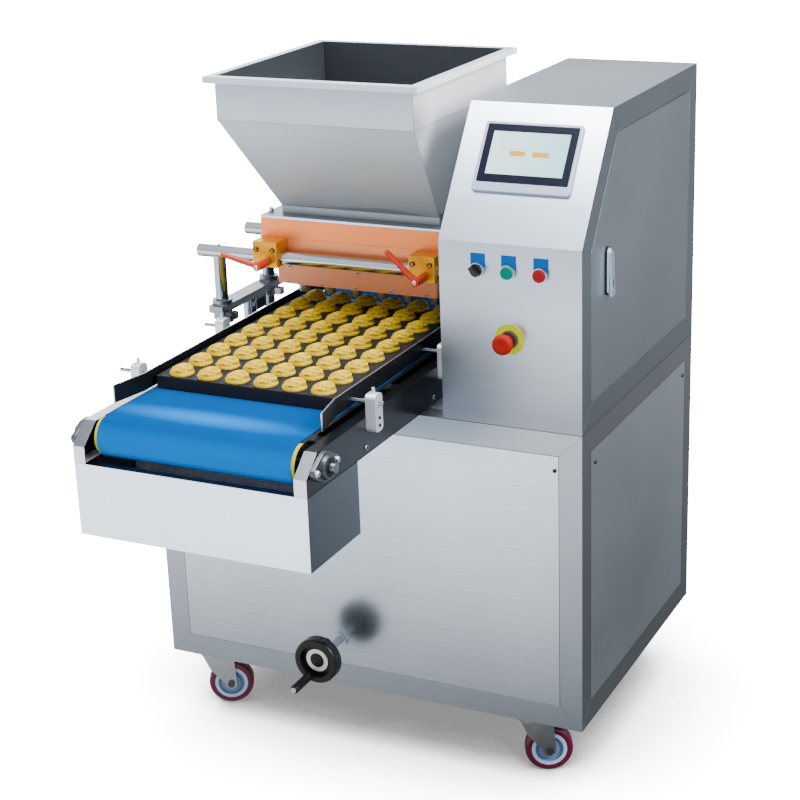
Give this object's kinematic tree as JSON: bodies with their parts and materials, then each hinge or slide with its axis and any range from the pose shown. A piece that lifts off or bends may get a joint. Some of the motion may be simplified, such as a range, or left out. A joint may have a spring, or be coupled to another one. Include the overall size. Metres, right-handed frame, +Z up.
{
  "type": "cake batter filling machine",
  "caption": "Wheeled stainless bakery depositor: belt conveyor with tray guides runs under a height-adjustable dosing head with tapered hopper, beside a slant-front control console.",
  "frame": {"origin": "centre of the bounding box on the floor, under the machine", "axes": "+Z up, -Y towards the operator and the conveyor nose, +X towards the control console"},
  "size_m": [0.984, 1.187, 1.413],
  "materials": {
    "stainless_frame": "brushed stainless sheet",
    "stainless_panel": "fine brushed stainless sheet",
    "stainless_hopper": "satin stainless sheet",
    "conveyor_steel": "polished stainless that mirrors its dark surroundings",
    "bed_steel": "satin stainless",
    "zinc": "bright zinc plate",
    "caster_tread": "smooth polyurethane tread on a pale hub",
    "chrome": "polished",
    "screen_bezel": "satin silver",
    "screen_glass": "dark navy display glass, blank",
    "legend_blue": "satin",
    "switch_metal": "polished",
    "black_plastic": "semi-gloss",
    "green_plastic": "gloss",
    "red_plastic": "gloss",
    "module_plastic": "matt",
    "motor_grey": "satin",
    "belt_blue": "smooth blue food belt with a yellow-green under layer",
    "roller_aluminium": "turned",
    "bearing_cast": "silver painted",
    "bracket_aluminium": "light satin",
    "tray_dark": "dark non-stick coat",
    "batter": "soft moist surface",
    "shaft_steel": "ground",
    "copper_plate": "copper-coloured satin anodised",
    "gold_block": "gold-coloured satin anodised",
    "lever_red": "orange-red powder coat"
  },
  "bodies": {
    "base": {"base_frame": "stainless_frame", "base_front_panel": "stainless_panel", "base_panels": "stainless_panel", "base_deck": "stainless_panel", "caster_plates": "zinc", "cabinet_shell": "stainless_frame", "hmi_housing": "screen_bezel", "hmi_screen": "screen_glass", "legend_plates": "legend_blue", "switch_bodies": "switch_metal", "control_modules": "module_plastic", "conveyor_motor": "motor_grey", "conveyor_left_plate": "conveyor_steel", "conveyor_right_plate": "conveyor_steel", "slider_bed": "bed_steel", "conveyor_belt": "belt_blue", "roller_bearings": "bearing_cast", "drip_box": "stainless_panel", "guide_brackets": "bracket_aluminium", "lift_jack": "motor_grey"},
    "door": {"cabinet_door": "stainless_panel"},
    "door_latch": {"latch_handle": "chrome"},
    "selector": {"selector_knob": "black_plastic"},
    "start": {"start_button": "green_plastic"},
    "stop": {"stop_button": "red_plastic"},
    "emergency_stop": {"estop_button": "red_plastic"},
    "front_drum": {"front_roller": "roller_aluminium"},
    "rear_drum": {"rear_roller": "roller_aluminium"},
    "left_rail": {"left_guide": "conveyor_steel"},
    "right_rail": {"right_guide": "conveyor_steel"},
    "tray": {"baking_tray": "tray_dark", "batter_portions": "batter"},
    "crank_wheel": {"handwheel": "black_plastic", "handwheel_shaft": "shaft_steel"},
    "crank_grip": {"handwheel_handle": "black_plastic"},
    "head": {"hopper": "stainless_hopper", "hopper_flange": "stainless_hopper", "valve_block": "copper_plate", "nozzle_manifold": "copper_plate", "nozzles": "shaft_steel", "valve_actuator": "bracket_aluminium", "piston_cylinder": "bracket_aluminium", "support_rods": "chrome", "clamp_blocks": "gold_block", "lift_posts": "chrome", "lift_arms": "bed_steel", "lift_crosshead": "motor_grey"},
    "spool": {"valve_spool": "shaft_steel"},
    "pistons": {"piston_set": "shaft_steel"},
    "left_clamp": {"left_lever": "lever_red"},
    "right_clamp": {"right_lever": "lever_red"},
    "swivel_front_left": {"caster_fork_front_left": "zinc"},
    "wheel_front_left": {"caster_wheel_front_left": "caster_tread"},
    "swivel_front_right": {"caster_fork_front_right": "zinc"},
    "wheel_front_right": {"caster_wheel_front_right": "caster_tread"},
    "swivel_rear_left": {"caster_fork_rear_left": "zinc"},
    "wheel_rear_left": {"caster_wheel_rear_left": "caster_tread"},
    "swivel_rear_right": {"caster_fork_rear_right": "zinc"},
    "wheel_rear_right": {"caster_wheel_rear_right": "caster_tread"}
  },
  "joints": [
    {"name": "swivel_front_left_turn", "type": "hinge", "parent": "base", "child": "swivel_front_left", "pos_m": [-0.42, -0.0785, 0.138], "axis": [0, 0, 1], "continuous": true},
    {"name": "wheel_front_left_spin", "type": "hinge", "parent": "swivel_front_left", "child": "wheel_front_left", "pos_m": [-0.38792, -0.06216, 0.05], "axis": [-0.454, 0.891, 0], "continuous": true},
    {"name": "swivel_front_right_turn", "type": "hinge", "parent": "base", "child": "swivel_front_right", "pos_m": [0.346, -0.0785, 0.138], "axis": [0, 0, 1], "continuous": true},
    {"name": "wheel_front_right_spin", "type": "hinge", "parent": "swivel_front_right", "child": "wheel_front_right", "pos_m": [0.37808, -0.06216, 0.05], "axis": [-0.454, 0.891, 0], "continuous": true},
    {"name": "swivel_rear_left_turn", "type": "hinge", "parent": "base", "child": "swivel_rear_left", "pos_m": [-0.42, 0.5115, 0.138], "axis": [0, 0, 1], "continuous": true},
    {"name": "wheel_rear_left_spin", "type": "hinge", "parent": "swivel_rear_left", "child": "wheel_rear_left", "pos_m": [-0.384, 0.5115, 0.05], "axis": [0, 1, 0], "continuous": true},
    {"name": "swivel_rear_right_turn", "type": "hinge", "parent": "base", "child": "swivel_rear_right", "pos_m": [0.346, 0.5115, 0.138], "axis": [0, 0, 1], "continuous": true},
    {"name": "wheel_rear_right_spin", "type": "hinge", "parent": "swivel_rear_right", "child": "wheel_rear_right", "pos_m": [0.31, 0.5115, 0.05], "axis": [0, -1, 0], "continuous": true},
    {"name": "door_swing", "type": "hinge", "parent": "base", "child": "door", "pos_m": [0.472, 0.5065, 1.0735], "axis": [0, 0, 1], "range_deg": [0, 110]},
    {"name": "door_latch_turn", "type": "hinge", "parent": "door", "child": "door_latch", "pos_m": [0.478, 0.0065, 1.097], "axis": [-1, 0, 0], "range_deg": [0, 90]},
    {"name": "selector_turn", "type": "hinge", "parent": "base", "child": "selector", "pos_m": [0.269, -0.1305, 1.086], "axis": [0, 1, 0], "range_deg": [0, 90]},
    {"name": "start_press", "type": "slide", "parent": "base", "child": "start", "axis": [0, 1, 0], "range_m": [0, 0.004], "stiffness_N_per_m": 400},
    {"name": "stop_press", "type": "slide", "parent": "base", "child": "stop", "axis": [0, 1, 0], "range_m": [0, 0.004], "stiffness_N_per_m": 400},
    {"name": "emergency_stop_press", "type": "slide", "parent": "base", "child": "emergency_stop", "axis": [0, 1, 0], "range_m": [0, 0.005], "stiffness_N_per_m": 600},
    {"name": "tray_feed", "type": "slide", "parent": "base", "child": "tray", "axis": [0, -1, 0], "range_m": [-0.28, 0.16]},
    {"name": "front_drum_spin", "type": "hinge", "parent": "base", "child": "front_drum", "pos_m": [-0.114, -0.5345, 0.81595], "axis": [1, 0, 0], "continuous": true},
    {"name": "rear_drum_spin", "type": "hinge", "parent": "base", "child": "rear_drum", "pos_m": [-0.114, 0.5095, 0.82195], "axis": [1, 0, 0], "continuous": true},
    {"name": "left_rail_shift", "type": "slide", "parent": "base", "child": "left_rail", "axis": [-1, 0, 0], "range_m": [-0.006, 0.016]},
    {"name": "right_rail_shift", "type": "slide", "parent": "base", "child": "right_rail", "axis": [1, 0, 0], "range_m": [-0.006, 0.016]},
    {"name": "head_lift", "type": "slide", "parent": "base", "child": "head", "axis": [0, 0, 1], "range_m": [0, 0.04]},
    {"name": "crank_wheel_turn", "type": "hinge", "parent": "base", "child": "crank_wheel", "pos_m": [-0.067, -0.1305, 0.244], "axis": [0, 1, 0], "continuous": true},
    {"name": "crank_grip_spin", "type": "hinge", "parent": "crank_wheel", "child": "crank_grip", "pos_m": [-0.0839, -0.2445, 0.20775], "axis": [0, 1, 0], "continuous": true},
    {"name": "valve_turn", "type": "hinge", "parent": "head", "child": "spool", "pos_m": [-0.114, 0.1595, 0.97], "axis": [-1, 0, 0], "range_deg": [0, 90]},
    {"name": "piston_stroke", "type": "slide", "parent": "head", "child": "pistons", "axis": [0, 1, 0], "range_m": [0, 0.04]},
    {"name": "left_clamp_turn", "type": "hinge", "parent": "head", "child": "left_clamp", "pos_m": [-0.2975, 0.0535, 1.003], "axis": [0, 1, 0], "range_deg": [-30, 90]},
    {"name": "right_clamp_turn", "type": "hinge", "parent": "head", "child": "right_clamp", "pos_m": [0.0695, 0.0535, 1.003], "axis": [0, 1, 0], "range_deg": [-50, 60]}
  ],
  "couplings": [
    {"joint": "front_drum_spin", "follows": "tray_feed", "rad_per_m": 26.316},
    {"joint": "rear_drum_spin", "follows": "tray_feed", "rad_per_m": 31.25},
    {"joint": "crank_wheel_turn", "follows": "head_lift", "rad_per_m": 785.4}
  ]
}
